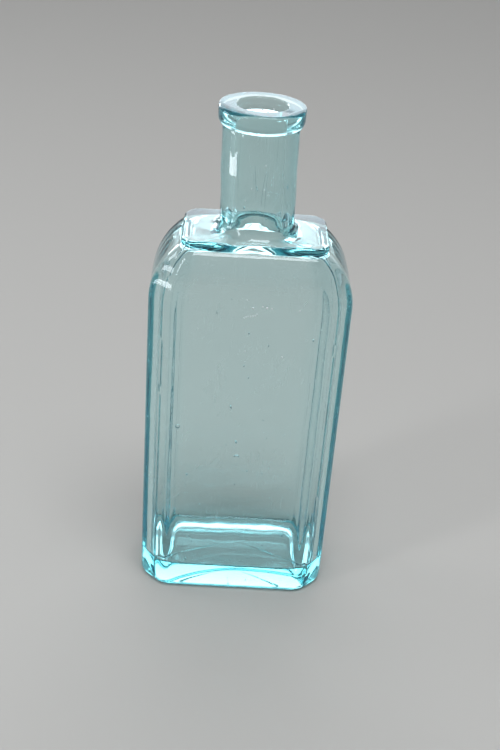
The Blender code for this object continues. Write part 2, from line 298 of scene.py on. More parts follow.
def smooth_share(value, low, high):
    share = min(1.0, max(0.0, (value - low) / (high - low)))
    return share * share * (3.0 - 2.0 * share)


def smooth_arch(share):
    """A quarter round: zero below it, one at its top."""
    return 1.0 - math.sqrt(max(0.0, 1.0 - max(0.0, share) ** 2))


def arch_share(height_share):
    """The shoulders' flatter arch, which stops short of a quarter round."""
    reach = height_share * SHOULDER_ARC_SHARE
    return (1.0 - math.sqrt(1.0 - reach ** 2)) / (1.0 - math.sqrt(1.0 - SHOULDER_ARC_SHARE ** 2))


def smooth_minimum(a, b, softness):
    share = min(1.0, max(0.0, 0.5 + 0.5 * (b - a) / softness))
    return b + (a - b) * share - softness * share * (1.0 - share)


def swell(angle, middle, spread):
    """One at the middle angle, falling smoothly to zero at the spread on either side; degrees."""
    away = abs(math.remainder(angle - middle, 360.0)) / spread
    return math.cos(0.5 * math.pi * away) ** 2 if away < 1.0 else 0.0


# Outlines

def between(a, b, share):
    return (a[0] + (b[0] - a[0]) * share, a[1] + (b[1] - a[1]) * share)


def straight(a, b, pieces):
    """Points from a to just before b."""
    return [between(a, b, k / pieces) for k in range(pieces)]


def bend(a, corner, b, pieces):
    """A curve from a to just before b that rounds off their corner."""
    return [between(between(a, corner, k / pieces), between(corner, b, k / pieces), k / pieces)
            for k in range(pieces)]


def bevelled_rectangle(half_width, half_depth, cut_width, cut_depth, softening):
    """An outline of 4 * QUARTER_STEPS points, counter-clockwise from +X, with bevelled corners."""
    on_side = (half_width, 0.0)
    side_corner = (half_width, half_depth - cut_depth)
    face_corner = (half_width - cut_width, half_depth)
    on_face = (0.0, half_depth)
    side, bevel = math.dist(on_side, side_corner), math.dist(side_corner, face_corner)
    face = math.dist(face_corner, on_face)
    setback = min(softening, min(side, bevel) * SOFTENING_LIMIT_SHARE)
    side_start = between(side_corner, on_side, setback / side)
    side_end = between(side_corner, face_corner, setback / bevel)
    face_start = between(face_corner, side_corner, setback / bevel)
    face_end = between(face_corner, on_face, setback / face)
    quarter = straight(on_side, side_start, SIDE_PIECES)
    quarter += bend(side_start, side_corner, side_end, BEND_PIECES)
    quarter += straight(side_end, face_start, BEVEL_PIECES)
    quarter += bend(face_start, face_corner, face_end, BEND_PIECES)
    quarter += straight(face_end, on_face, FACE_PIECES)
    quarter.append(on_face)
    there, back = quarter[:-1], quarter[:0:-1]
    return (list(there) + [(-x, y) for x, y in back]
            + [(-x, -y) for x, y in there] + [(x, -y) for x, y in back])


def circle(radius):
    count = 4 * QUARTER_STEPS
    angles = [2.0 * math.pi * k / count for k in range(count)]
    return [(radius * math.cos(angle), radius * math.sin(angle)) for angle in angles]


def at_height(outline, z):
    return [(x, y, z) for x, y in outline]


def arc_angles(steps):
    """Angles from zero to a right angle, both included."""
    return [0.5 * math.pi * k / steps for k in range(steps + 1)]


def rows_between(low, high):
    """Heights strictly between two levels, about a row spacing apart."""
    count = max(1, round((high - low) / ROW_SPACING))
    return [low + (high - low) * k / count for k in range(1, count)]


# Rings of the glass, from the crown of the underside, up the outside and down the inside

def body_outline(inset, softening):
    bevel_loss = inset * (2.0 - math.sqrt(2.0))
    return bevelled_rectangle(
        BODY_WIDTH / 2 - inset, BODY_DEPTH / 2 - inset,
        BEVEL_WIDTH - bevel_loss, BEVEL_DEPTH - bevel_loss, softening)


def step_outline(grown):
    return bevelled_rectangle(
        STEP_WIDTH / 2 + grown, STEP_DEPTH / 2 + grown,
        STEP_CORNER_CUT, STEP_CORNER_CUT, STEP_CORNER_SOFTENING)


def shoulder_outline(z):
    """The sides arch from lower down than the faces, and the bevels shrink as they rise."""
    side_share = (z - SHOULDER_FOOT_HEIGHT) / SIDE_SHOULDER_RISE
    face_foot = SHOULDER_TOP_HEIGHT - FACE_SHOULDER_RISE
    face_share = max(0.0, (z - face_foot) / FACE_SHOULDER_RISE)
    step_half_width = STEP_WIDTH / 2 + STEP_EDGE_RADIUS
    step_half_depth = STEP_DEPTH / 2 + STEP_EDGE_RADIUS
    narrowing = arch_share(side_share)
    half_width = BODY_WIDTH / 2 + (step_half_width - BODY_WIDTH / 2) * narrowing
    half_depth = BODY_DEPTH / 2 + (step_half_depth - BODY_DEPTH / 2) * arch_share(face_share)
    cut_width = BEVEL_WIDTH + (STEP_CORNER_CUT - BEVEL_WIDTH) * narrowing
    cut_depth = BEVEL_DEPTH + (STEP_CORNER_CUT - BEVEL_DEPTH) * narrowing
    softening = BEVEL_SOFTENING + (STEP_CORNER_SOFTENING - BEVEL_SOFTENING) * narrowing
    return bevelled_rectangle(half_width, half_depth, cut_width, cut_depth, softening)


def push_up_height(x, y, half_depth):
    """The underside's rise: a ramp from the front, broken by a curved ledge, then a crown that ends
    in a steep back edge."""
    across = max(0.0, abs(x) - PUSH_UP_LEVEL_TO[0]) / PUSH_UP_ROUNDING[0]
    back = max(0.0, y - PUSH_UP_LEVEL_TO[1]) / PUSH_UP_ROUNDING[1]
    edge = 1.0 - min(1.0, math.hypot(across, back) ** PUSH_UP_SQUARENESS)
    reach = max(0.0, (y - PUSH_UP_CROWN) / (half_depth - PUSH_UP_CROWN))
    soft_edge = edge ** 2 / (edge + PUSH_UP_EDGE_SOFTNESS)
    crown = PUSH_UP_RISE * soft_edge * (1.0 - PUSH_UP_BACK_FALL * reach ** 2)
    ledge_x, ledge_y = RAMP_LEDGE_CROWN
    fall = RAMP_LEDGE_FALLS[0] if x < ledge_x else RAMP_LEDGE_FALLS[1]
    past_ledge = y - (ledge_y - fall * (x - ledge_x) ** 2)
    ramp = (y + half_depth) * PUSH_UP_RAMP
    ramp -= RAMP_LEDGE_DROP * smooth_share(past_ledge, *RAMP_LEDGE_ENDS)
    return max(0.0, smooth_minimum(crown, ramp, PUSH_UP_CREASE))


def bevel_softening(z):
    """The bevels' edges are rounder near the heel."""
    sharpness = smooth_share(z, 0.0, HEEL_SOFTENING_TOP)
    return HEEL_SOFTENING + (BEVEL_SOFTENING - HEEL_SOFTENING) * sharpness


def underside_rings():
    rim = body_outline(HEEL_RADIUS, HEEL_SOFTENING)
    dome_inset = HEEL_RADIUS + BEARING_RIM_WIDTH
    dome = body_outline(dome_inset, HEEL_SOFTENING)
    half_depth = BODY_DEPTH / 2 - dome_inset
    rings = []
    for k in range(1, PUSH_UP_RINGS):
        share = k / PUSH_UP_RINGS
        ring = [(x * share, y * share, push_up_height(x * share, y * share, half_depth))
                for x, y in dome]
        rings.append(ring)
    rings.append(at_height(dome, 0.0))
    rings.append(at_height(rim, 0.0))
    for angle in arc_angles(ARC_STEPS)[1:]:
        inset = HEEL_RADIUS * (1.0 - math.sin(angle))
        height = HEEL_RADIUS * (1.0 - math.cos(angle))
        rings.append(at_height(body_outline(inset, bevel_softening(height)), height))
    for z in rows_between(HEEL_RADIUS, SHOULDER_FOOT_HEIGHT):
        rings.append(at_height(body_outline(0.0, bevel_softening(z)), z))
    return rings


def shoulder_rings():
    shares = [k / SHOULDER_STEPS for k in range(SHOULDER_STEPS + 1)]
    heights = [SHOULDER_FOOT_HEIGHT + SIDE_SHOULDER_RISE * share for share in shares]
    return [at_height(shoulder_outline(z), z) for z in heights]


def step_surface_height(x, y):
    """The step's top is flat, and rises in a fillet to the neck."""
    to_neck = max(0.0, math.hypot(x, y) - NECK_RADIUS)
    if to_neck >= NECK_FOOT_FILLET:
        return STEP_TOP_HEIGHT
    depth = math.sqrt(NECK_FOOT_FILLET ** 2 - (NECK_FOOT_FILLET - to_neck) ** 2)
    return STEP_TOP_HEIGHT + NECK_FOOT_FILLET - depth


def step_rings():
    rings = []
    edge = step_outline(0.0)
    edge_heights = [step_surface_height(x, y) for x, y in edge]
    for angle in reversed(arc_angles(ARC_STEPS)[1:-1]):
        grown = STEP_EDGE_RADIUS * math.sin(angle)
        drop = STEP_EDGE_RADIUS * (1.0 - math.cos(angle))
        rings.append([(x, y, z - drop) for (x, y), z in zip(step_outline(grown), edge_heights)])
    rings.append([(x, y, z) for (x, y), z in zip(edge, edge_heights)])
    neck = circle(NECK_RADIUS)
    for angle in reversed(arc_angles(ARC_STEPS)[1:]):
        ring = []
        for out, near in zip(edge, neck):
            room = math.dist(out, near)
            reach = min(NECK_FOOT_FILLET, room * FILLET_REACH_SHARE) * (1.0 - math.cos(angle))
            x, y = between(near, out, reach / room)
            ring.append((x, y, step_surface_height(x, y)))
        rings.append(ring)
    rings.append(at_height(neck, NECK_LOW))
    return rings


def lip_top_rings():
    """The lip's upper edge, its top and the mouth's edge, uneven all the way round."""
    directions = circle(1.0)
    edges = []
    for x, y in directions:
        angle = math.degrees(math.atan2(y, x))
        reach = drop = LIP_EDGE_RADIUS
        for middle, spread, more_reach, more_drop in LIP_PRESSED_STRETCHES:
            reach += more_reach * swell(angle, middle, spread)
            drop += more_drop * swell(angle, middle, spread)
        tongue = swell(angle, TONGUE_ANGLE, TONGUE_SPREAD)
        edges.append((x, y, reach, drop, tongue))
    rings = []
    for bend_angle in reversed(arc_angles(2 * ARC_STEPS)):
        ring = []
        for x, y, reach, drop, tongue in edges:
            radius = LIP_RADIUS - reach * (1.0 - math.sin(bend_angle))
            radius += TONGUE_REACH * tongue * math.sin(bend_angle)
            height = TOTAL_HEIGHT - drop * (1.0 - math.cos(bend_angle))
            height -= TONGUE_DROOP * tongue * math.sin(bend_angle) ** TONGUE_DROOP_SHARPNESS
            ring.append((x * radius, y * radius, height))
        rings.append(ring)
    mouth_edge = BORE_RADIUS + LIP_EDGE_RADIUS
    for k in range(1, LIP_TOP_RINGS):
        share = k / LIP_TOP_RINGS
        ring = []
        for x, y, reach, *_ in edges:
            radius = (LIP_RADIUS - reach) * (1.0 - share) + mouth_edge * share
            point = (x * radius, y * radius)
            dent = math.exp(-(math.dist(point, DENT_PLACE) / DENT_RADIUS) ** 2)
            ring.append((*point, TOTAL_HEIGHT - DENT_DEPTH * dent))
        rings.append(ring)
    for angle in reversed(arc_angles(ARC_STEPS)):
        radius = BORE_RADIUS + LIP_EDGE_RADIUS * (1.0 - math.cos(angle))
        height = TOTAL_HEIGHT - LIP_EDGE_RADIUS * (1.0 - math.sin(angle))
        rings.append(at_height(circle(radius), height))
    return rings


def neck_and_lip_rings():
    """The neck, the crease where the lip was laid on, the lip's outside, top and mouth."""
    rings = []
    for z in rows_between(NECK_LOW, LIP_FOOT_HEIGHT):
        rings.append(at_height(circle(NECK_RADIUS), z))
    foot_radius = NECK_RADIUS + LIP_FOOT_LEDGE
    rings.append(at_height(circle(NECK_RADIUS), LIP_FOOT_HEIGHT - LIP_FOOT_NOTCH))
    rings.append(at_height(circle(NECK_RADIUS - LIP_FOOT_NOTCH / 2), LIP_FOOT_HEIGHT))
    for angle in reversed(arc_angles(ARC_STEPS)):
        radius = foot_radius + (LIP_RADIUS - foot_radius) * math.cos(angle)
        height = LIP_FOOT_HEIGHT + LIP_FOOT_NOTCH + LIP_LOWER_ROUNDING * (1.0 - math.sin(angle))
        rings.append(at_height(circle(radius), height))
    rings += lip_top_rings()
    throat_top = STEP_TOP_HEIGHT - CEILING_THICKNESS + THROAT_RISE
    for z in reversed(rows_between(throat_top, TOTAL_HEIGHT - LIP_EDGE_RADIUS)):
        rings.append(at_height(circle(BORE_RADIUS), z))
    return rings


def cavity_outline(z, ceiling):
    """The inside of the shoulders: their sides arch from lower down than their faces."""
    side_share = smooth_arch((z - ceiling + CAVITY_SIDE_RISE) / CAVITY_SIDE_RISE)
    face_share = arch_share(max(0.0, (z - ceiling + CAVITY_FACE_RISE) / CAVITY_FACE_RISE))
    half_width = BODY_WIDTH / 2 - WALL
    half_width += (CEILING_WIDTH / 2 - half_width) * side_share
    half_depth = BODY_DEPTH / 2 - WALL
    half_depth += (CEILING_DEPTH / 2 - half_depth) * face_share
    bevel_loss = WALL * (2.0 - math.sqrt(2.0))
    cut_width = BEVEL_WIDTH - bevel_loss
    cut_depth = BEVEL_DEPTH - bevel_loss
    return bevelled_rectangle(
        half_width, half_depth, cut_width + (CEILING_CORNER_CUT - cut_width) * side_share,
        cut_depth + (CEILING_CORNER_CUT - cut_depth) * side_share, CAVITY_SOFTENING)


def throat_foot_rings(throat, edge, ceiling):
    """From the throat to the ceiling's edge: an even slope to the front and back, and flat to the
    sides."""
    rings = []
    for k in range(1, THROAT_RINGS):
        share = (k / THROAT_RINGS) ** THROAT_FOOT_SPREAD
        ring = []
        for near, out in zip(throat, edge):
            sideways = (near[0] / math.hypot(*near)) ** 2
            flatness = 1.0 + THROAT_FOOT_SIDE_FLATNESS * sideways
            height = ceiling + THROAT_FOOT * (1.0 - share) ** flatness
            ring.append((*between(near, out, share), height))
        rings.append(ring)
    return rings


def tilt_ceiling(point, ceiling):
    """The ceiling falls a little towards the back."""
    x, y, z = point
    share = (smooth_share(z, ceiling - CAVITY_SIDE_RISE / 2, ceiling)
             - smooth_share(z, ceiling + THROAT_FOOT, ceiling + THROAT_RISE))
    return (x, y, z - share * CEILING_SLOPE * (y - CEILING_LEVEL_AT))


def floor_outline():
    """The inside's floor: its back corners are rounder than its front ones."""
    half_width = BODY_WIDTH / 2 - WALL - FLOOR_SIDE_FILLET
    half_depth = BODY_DEPTH / 2 - WALL
    front = bevelled_rectangle(
        half_width, half_depth - FLOOR_FILLET, FLOOR_FRONT_CUT, FLOOR_FRONT_CUT, FLOOR_SOFTENING)
    back = bevelled_rectangle(
        half_width, half_depth - BACK_FILLET, FLOOR_BACK_CUT, FLOOR_BACK_CUT, FLOOR_SOFTENING)
    return [b if b[1] > 0.0 else f for f, b in zip(front, back)]


def floor_fillet_reach(y, height):
    """How far the fillet has come from the wall to the floor: it is tall at the back and small
    elsewhere."""
    rise = FLOOR_FILLET + (BACK_FILLET_RISE - FLOOR_FILLET) * smooth_share(y, *BACK_FILLET_STARTS)
    return smooth_arch(1.0 - height / rise)


def cavity_rings():
    wall = body_outline(WALL, CAVITY_SOFTENING)
    ceiling = STEP_TOP_HEIGHT - CEILING_THICKNESS
    rings = []
    for k in range(ARC_STEPS + 1):
        share = k / ARC_STEPS
        height = ceiling + THROAT_RISE + (THROAT_FOOT - THROAT_RISE) * share
        rings.append(at_height(circle(BORE_RADIUS + THROAT_FLARE * share ** 2), height))
    throat = circle(BORE_RADIUS + THROAT_FLARE)
    rings += throat_foot_rings(throat, cavity_outline(ceiling, ceiling), ceiling)
    for angle in reversed(arc_angles(SHOULDER_STEPS)):
        z = ceiling - CAVITY_SIDE_RISE * (1.0 - math.sin(angle))
        rings.append(at_height(cavity_outline(z, ceiling), z))
    rings = [[tilt_ceiling(point, ceiling) for point in ring] for ring in rings]
    for z in reversed(rows_between(BASE_THICKNESS + BACK_FILLET_RISE, ceiling - CAVITY_SIDE_RISE)):
        rings.append(at_height(wall, z))
    floor = floor_outline()
    for angle in arc_angles(FLOOR_FILLET_RINGS):
        height = BACK_FILLET_RISE * (1.0 - math.sin(angle))
        rings.append([(*between(a, b, floor_fillet_reach(a[1], height)), BASE_THICKNESS + height)
                      for a, b in zip(wall, floor)])
    for k in range(FLOOR_RINGS - 1, 0, -1):
        share = k / FLOOR_RINGS
        rings.append(at_height([(x * share, y * share) for x, y in floor], BASE_THICKNESS))
    return rings


# What the blowing and the hand finishing did to the even form

def wave(point, length, shift):
    """Smooth noise from about -1 to 1. Each use has a shift of its own, so that no two agree."""
    return noise.noise(point / length + Vector((shift, 2.0 * shift, 3.0 * shift)))


def neck_share(z):
    """Zero in the body, one in the neck and the lip."""
    return min(1.0, max(0.0, (z - STEP_TOP_HEIGHT) / NECK_FOOT_FILLET))


def outside_hollow(point):
    hollow = OUTSIDE_WAVE * (0.5 + 0.5 * wave(point, OUTSIDE_WAVE_LENGTH, 1.3))
    hollow += OUTSIDE_RIPPLE * (0.5 + 0.5 * wave(point, OUTSIDE_RIPPLE_LENGTH, 2.9))
    along = Vector((point.x, point.y, point.z / STREAK_STRETCH))
    streak = OUTSIDE_STREAK_DEPTH * (0.5 + 0.5 * wave(along, STREAK_WIDTH, 4.1))
    return hollow + streak * neck_share(point.z)


def inside_wave(point):
    """The base and the shoulders set evenly against the mould, so they wave less than the walls."""
    liveliness = (smooth_share(point.z, *CALM_HEIGHTS[:2])
                  - smooth_share(point.z, *CALM_HEIGHTS[2:]))
    calming = CALM_SHARE + (1.0 - CALM_SHARE) * liveliness
    depth = calming * INSIDE_WAVE * wave(point, INSIDE_WAVE_LENGTH, 5.7)
    depth += INSIDE_RIPPLE * wave(point, INSIDE_RIPPLE_LENGTH, 7.3)
    along = Vector((point.x, point.y, point.z / STREAK_STRETCH))
    return depth + STREAK_DEPTH * wave(along, STREAK_WIDTH, 9.1) * neck_share(point.z)


def neck_offset(z):
    foot, foot_offset = NECK_AXIS[0]
    if z <= foot:
        return foot_offset * max(0.0, 1.0 - (foot - z) / STEP_RISE)
    for (low, low_offset), (high, high_offset) in zip(NECK_AXIS, NECK_AXIS[1:]):
        if z <= high:
            return low_offset + (high_offset - low_offset) * smooth_share(z, low, high)
    return NECK_AXIS[-1][1]


def make_uneven(mesh_data, outside_count):
    """Moves the outside's points, which come first, and then the inside's; none goes below zero."""
    mesh_data.normal_update()
    mesh_data.verts.ensure_lookup_table()
    moved = []
    for index, vert in enumerate(mesh_data.verts):
        depth = outside_hollow(vert.co) if index < outside_count else inside_wave(vert.co)
        moved.append(vert.co - vert.normal * depth)
    for vert, place in zip(mesh_data.verts, moved):
        vert.co = place
        vert.co.x += neck_offset(place.z)
        vert.co.z = max(0.0, place.z)


def loft(mesh_data, rings):
    """Joins each ring to the next, and closes the first and the last."""
    loops = [[mesh_data.verts.new(point) for point in ring] for ring in rings]
    for lower, upper in zip(loops, loops[1:]):
        for k in range(len(lower)):
            mesh_data.faces.new((lower[k - 1], lower[k], upper[k], upper[k - 1]))
    mesh_data.faces.new(reversed(loops[0]))
    mesh_data.faces.new(loops[-1])


# Bubbles and drawn-out lines of air

def turn_inside_out(mesh_data, verts):
    """The faces round a hollow look into it, away from the glass."""
    faces = list({face for vert in verts for face in vert.link_faces})
    bmesh.ops.recalc_face_normals(mesh_data, faces=faces)
    bmesh.ops.reverse_faces(mesh_data, faces=faces)


def add_blob(mesh_data, frame_of_blob, radii):
    matrix = frame_of_blob @ Matrix.Diagonal((*radii, 1.0))
    made = bmesh.ops.create_icosphere(
        mesh_data, subdivisions=BLOB_SUBDIVISIONS, radius=1.0, matrix=matrix)
    return made["verts"]


def add_seed(mesh_data, place, radius, stretch, flatness=1.0):
    radii = (radius, radius * flatness, radius * stretch)
    turn_inside_out(mesh_data, add_blob(mesh_data, Matrix.Translation(place), radii))


def add_air_line(mesh_data, path, radius):
    """A thin hollow along a path that doesn't run front to back, with a point at both ends."""
    last = len(path) - 1
    turns = [2.0 * math.pi * k / AIR_LINE_SIDES for k in range(AIR_LINE_SIDES)]
    loops = []
    for k in range(1, last):
        along = (path[k + 1] - path[k - 1]).normalized()
        side = along.cross(Vector((0.0, 1.0, 0.0))).normalized()
        out = side.cross(along)
        width = radius * math.sqrt(math.sin(math.pi * k / last))
        spokes = [side * math.cos(turn) + out * math.sin(turn) for turn in turns]
        loops.append([mesh_data.verts.new(path[k] + spoke * width) for spoke in spokes])
    for first, second in zip(loops, loops[1:]):
        for k in range(AIR_LINE_SIDES):
            mesh_data.faces.new((first[k - 1], first[k], second[k], second[k - 1]))
    tips = [mesh_data.verts.new(path[0]), mesh_data.verts.new(path[-1])]
    for tip, loop in zip(tips, (loops[0], loops[-1])):
        for k in range(AIR_LINE_SIDES):
            mesh_data.faces.new((tip, loop[k - 1], loop[k]))
    turn_inside_out(mesh_data, tips + [vert for loop in loops for vert in loop])


def in_neck_wall(angle, z):
    radius = (NECK_RADIUS + BORE_RADIUS) / 2
    return Vector((radius * math.cos(angle) + neck_offset(z), radius * math.sin(angle), z))


def add_seeds(mesh_data, rng):
    wall_low, wall_high = BASE_THICKNESS + FLOOR_FILLET, SHOULDER_FOOT_HEIGHT
    places = []
    for k in range(WALL_SEEDS):
        across, z = rng.uniform(-0.5, 0.5), rng.uniform(wall_low, wall_high)
        if k % SIDE_SEED_EVERY:
            places.append((across * FACE_WIDTH, rng.choice((-1, 1)) * (BODY_DEPTH - WALL) / 2, z))
        else:
            places.append((rng.choice((-1, 1)) * (BODY_WIDTH - WALL) / 2, across * SIDE_DEPTH, z))
    wide, deep = BASE_SEED_SPREAD
    for _ in range(BASE_SEEDS):
        places.append((rng.uniform(-wide, wide) * BODY_WIDTH, rng.uniform(-deep, deep) * BODY_DEPTH,
                       (PUSH_UP_RISE + BASE_THICKNESS) / 2))
    for _ in range(NECK_SEEDS):
        angle = rng.uniform(0.0, 2.0 * math.pi)
        places.append(in_neck_wall(angle, rng.uniform(NECK_LOW, LIP_FOOT_HEIGHT + LIP_HEIGHT / 2)))
    for place in places:
        add_seed(mesh_data, Vector(place), rng.uniform(*SEED_RADII), rng.uniform(*SEED_STRETCH))


def add_air_lines(mesh_data, rng):
    for _ in range(AIR_LINES):
        angle, length = rng.uniform(0.0, 2.0 * math.pi), rng.uniform(*AIR_LINE_LENGTHS)
        low = rng.uniform(NECK_LOW, LIP_FOOT_HEIGHT - length)
        bend_angle = rng.uniform(-AIR_LINE_BEND, AIR_LINE_BEND)
        path = []
        for step in range(AIR_LINE_STEPS + 1):
            share = step / AIR_LINE_STEPS
            path.append(in_neck_wall(angle + bend_angle * share ** 2, low + length * share))
        add_air_line(mesh_data, path, AIR_LINE_RADIUS)


def add_front_marks(mesh_data):
    front = -BODY_DEPTH / 2 + CREASE_DEPTH
    x, z, radius = RING_BUBBLE
    add_seed(mesh_data, Vector((x, front, z)), radius, 1.0, RING_BUBBLE_FLATNESS)
    for crease in FRONT_CREASES:
        add_air_line(mesh_data, [Vector((x * MM, front, z * MM)) for x, z in crease], CREASE_RADIUS)


# Finished pieces

def finished(name, mesh_data, material):
    """A smooth-shaded object of the mesh data, linked to the scene."""
    mesh = bpy.data.meshes.new(name)
    mesh_data.to_mesh(mesh)
    mesh_data.free()
    mesh.shade_smooth()
    mesh.materials.append(material)
    obj = bpy.data.objects.new(name, mesh)
    bpy.context.scene.collection.objects.link(obj)
    return obj


# Flecks of lime

def front_of(z):
    """The front face at a height: flat up to the shoulders, then arched."""
    if z <= SHOULDER_FOOT_HEIGHT:
        return -BODY_DEPTH / 2
    return min(y for x, y in shoulder_outline(z))


def add_fleck(mesh_data, place, out, radius):
    """A flattened grain that lies on the glass; out points away from the glass."""
    turn = Vector(out).to_track_quat("Z", "Y").to_matrix().to_4x4()
    radii = (radius, radius, radius * FLECK_FLATNESS)
    add_blob(mesh_data, Matrix.Translation(place) @ turn, radii)


def make_flecks():
    """Lime flecks on the front face, the neck and the inside of the mouth."""
    rng = random.Random(SEED)
    mesh_data = bmesh.new()
    flecks = [(x * MM, z * MM, radius * MM) for x, z, radius in FRONT_FLECKS]
    flecks += [(x * MM, z * MM, CRESCENT_FLECK_RADIUS * MM) for x, z in FRONT_CRESCENT]
    for _ in range(STRAY_FLECKS):
        across = rng.uniform(-0.5, 0.5) * FACE_WIDTH
        flecks.append((across, rng.uniform(*STRAY_FLECK_HEIGHTS), rng.uniform(*STRAY_FLECK_RADII)))
    for x, z, radius in flecks:
        add_fleck(mesh_data, (x, front_of(z), z), (0.0, -1.0, 0.0), radius)
    for ring, surface in ((NECK_FLECKS, NECK_RADIUS), (BORE_FLECKS, BORE_RADIUS)):
        for angle, z, radius in ring:
            out = Vector((math.cos(math.radians(angle)), math.sin(math.radians(angle)), 0.0))
            place = out * surface + Vector((neck_offset(z * MM), 0.0, z * MM))
            add_fleck(mesh_data, place, out, radius * MM)
    obj = finished("lime_flecks", mesh_data, lime_material())
    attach(obj, "root")


# Materials

def new_material(name):
    """A material whose surface is a plain Principled shader."""
    material = bpy.data.materials.new(name)
    material.use_nodes = True
    nodes, links = material.node_tree.nodes, material.node_tree.links
    nodes.clear()
    output = nodes.new("ShaderNodeOutputMaterial")
    shader = nodes.new("ShaderNodeBsdfPrincipled")
    links.new(shader.outputs["BSDF"], output.inputs["Surface"])
    return material, nodes, links, shader, output


def noise_of(nodes, links, place, sizes, turn=0.0, detail=2.0):
    """Noise whose blobs have the given sizes along x, y and z, turned about the y axis."""
    mapping = nodes.new("ShaderNodeMapping")
    mapping.vector_type = "TEXTURE"
    mapping.inputs["Rotation"].default_value = (0.0, turn, 0.0)
    mapping.inputs["Scale"].default_value = sizes
    texture = nodes.new("ShaderNodeTexNoise")
    texture.inputs["Scale"].default_value = 1.0
    texture.inputs["Detail"].default_value = detail
    links.new(place, mapping.inputs["Vector"])
    links.new(mapping.outputs["Vector"], texture.inputs["Vector"])
    return texture.outputs[0]


def soft_step(nodes, links, value, low_high):
    """Rises smoothly from 0 to 1 as the value goes from low to high."""
    step = nodes.new("ShaderNodeMapRange")
    step.interpolation_type = "SMOOTHSTEP"
    step.inputs["From Min"].default_value, step.inputs["From Max"].default_value = low_high
    links.new(value, step.inputs["Value"])
    return step.outputs["Result"]


def maths(nodes, links, operation, *values):
    node = nodes.new("ShaderNodeMath")
    node.operation = operation
    for socket, value in zip(node.inputs, values):
        if isinstance(value, float):
            socket.default_value = value
        else:
            links.new(value, socket)
    return node.outputs["Value"]


def height_band(nodes, links, height, low, high, softness):
    rising = soft_step(nodes, links, height, (low - softness, low + softness))
    falling = soft_step(nodes, links, height, (high + softness, high - softness))
    return maths(nodes, links, "MULTIPLY", rising, falling)


def pattern(nodes, links, place, sizes, turn, edge):
    """Noise cut to patches or strokes with soft edges."""
    return soft_step(nodes, links, noise_of(nodes, links, place, sizes, turn), edge)


def glass_wear(nodes, links):
    """The roughness of the glass, and a bump height in metres."""
    place = nodes.new("ShaderNodeTexCoord").outputs["Object"]
    split = nodes.new("ShaderNodeSeparateXYZ")
    links.new(place, split.inputs["Vector"])
    height = split.outputs["Z"]

    patches = pattern(nodes, links, place, *PATCHES)
    upright = pattern(nodes, links, place, *UPRIGHT_SCUFFS)
    slanting = pattern(nodes, links, place, *SLANTING_SCUFFS)
    scuffs = maths(nodes, links, "MAXIMUM", upright, slanting)
    scuffs = maths(nodes, links, "MULTIPLY", scuffs, patches)
    above_base = soft_step(nodes, links, height, SCUFF_FOOT)
    scuffs = maths(nodes, links, "MULTIPLY", scuffs, above_base)
    level_lines = pattern(nodes, links, place, *LEVEL_LINES)
    under_step = height_band(nodes, links, height, *LEVEL_LINE_BAND)
    level_lines = maths(nodes, links, "MULTIPLY", level_lines, under_step)
    roughness = maths(nodes, links, "MULTIPLY_ADD", patches, HAZE_ROUGHNESS, CLEAR_ROUGHNESS)
    roughness = maths(nodes, links, "MULTIPLY_ADD", level_lines, LINE_ROUGHNESS, roughness)
    roughness = maths(nodes, links, "MULTIPLY_ADD", scuffs, SCUFF_ROUGHNESS, roughness)

    ripples = noise_of(nodes, links, place, RIPPLE_SIZES, RIPPLE_TURN, RIPPLE_DETAIL)
    middle = height_band(nodes, links, height, *RIPPLE_BAND)
    rise = maths(nodes, links, "MULTIPLY", middle, RIPPLE_HEIGHT)
    ripples = maths(nodes, links, "MULTIPLY", ripples, rise)
    skin = noise_of(nodes, links, place, SKIN_SIZES)
    skin = maths(nodes, links, "MULTIPLY", skin, SKIN_HEIGHT)
    bump_height = maths(nodes, links, "ADD", ripples, skin)
    return roughness, maths(nodes, links, "MULTIPLY_ADD", scuffs, SCUFF_HEIGHT, bump_height)


def glass_material():
    material, nodes, links, shader, output = new_material("aqua_glass")
    shader.inputs["Base Color"].default_value = GLASS_COLOUR
    shader.inputs["IOR"].default_value = IOR
    shader.inputs["Transmission Weight"].default_value = 1.0
    roughness, bump_height = glass_wear(nodes, links)
    bump = nodes.new("ShaderNodeBump")
    bump.inputs["Strength"].default_value = 1.0
    bump.inputs["Distance"].default_value = 1.0
    links.new(roughness, shader.inputs["Roughness"])
    links.new(bump_height, bump.inputs["Height"])
    links.new(bump.outputs["Normal"], shader.inputs["Normal"])
    absorption = nodes.new("ShaderNodeVolumeAbsorption")
    absorption.inputs["Color"].default_value = ABSORPTION_COLOUR
    absorption.inputs["Density"].default_value = ABSORPTION_DENSITY
    links.new(absorption.outputs["Volume"], output.inputs["Volume"])
    return material


def lime_material():
    material, nodes, links, shader, _ = new_material("lime")
    place = nodes.new("ShaderNodeTexCoord").outputs["Object"]
    tone = nodes.new("ShaderNodeMix")
    tone.data_type = "RGBA"
    links.new(noise_of(nodes, links, place, LIME_TONE_SIZES), tone.inputs["Factor"])
    tone.inputs["A"].default_value, tone.inputs["B"].default_value = LIME_TONES
    links.new(tone.outputs["Result"], shader.inputs["Base Color"])
    shader.inputs["Roughness"].default_value = LIME_ROUGHNESS
    return material


def floor_material():
    """Plain and dull: with no gloss it mirrors none of the lamps."""
    material, _, _, shader, _ = new_material("pale_floor")
    shader.inputs["Base Color"].default_value = GROUND_COLOUR
    shader.inputs["Roughness"].default_value = GROUND_ROUGHNESS
    shader.inputs["Specular IOR Level"].default_value = 0.0
    return material


# The bottle

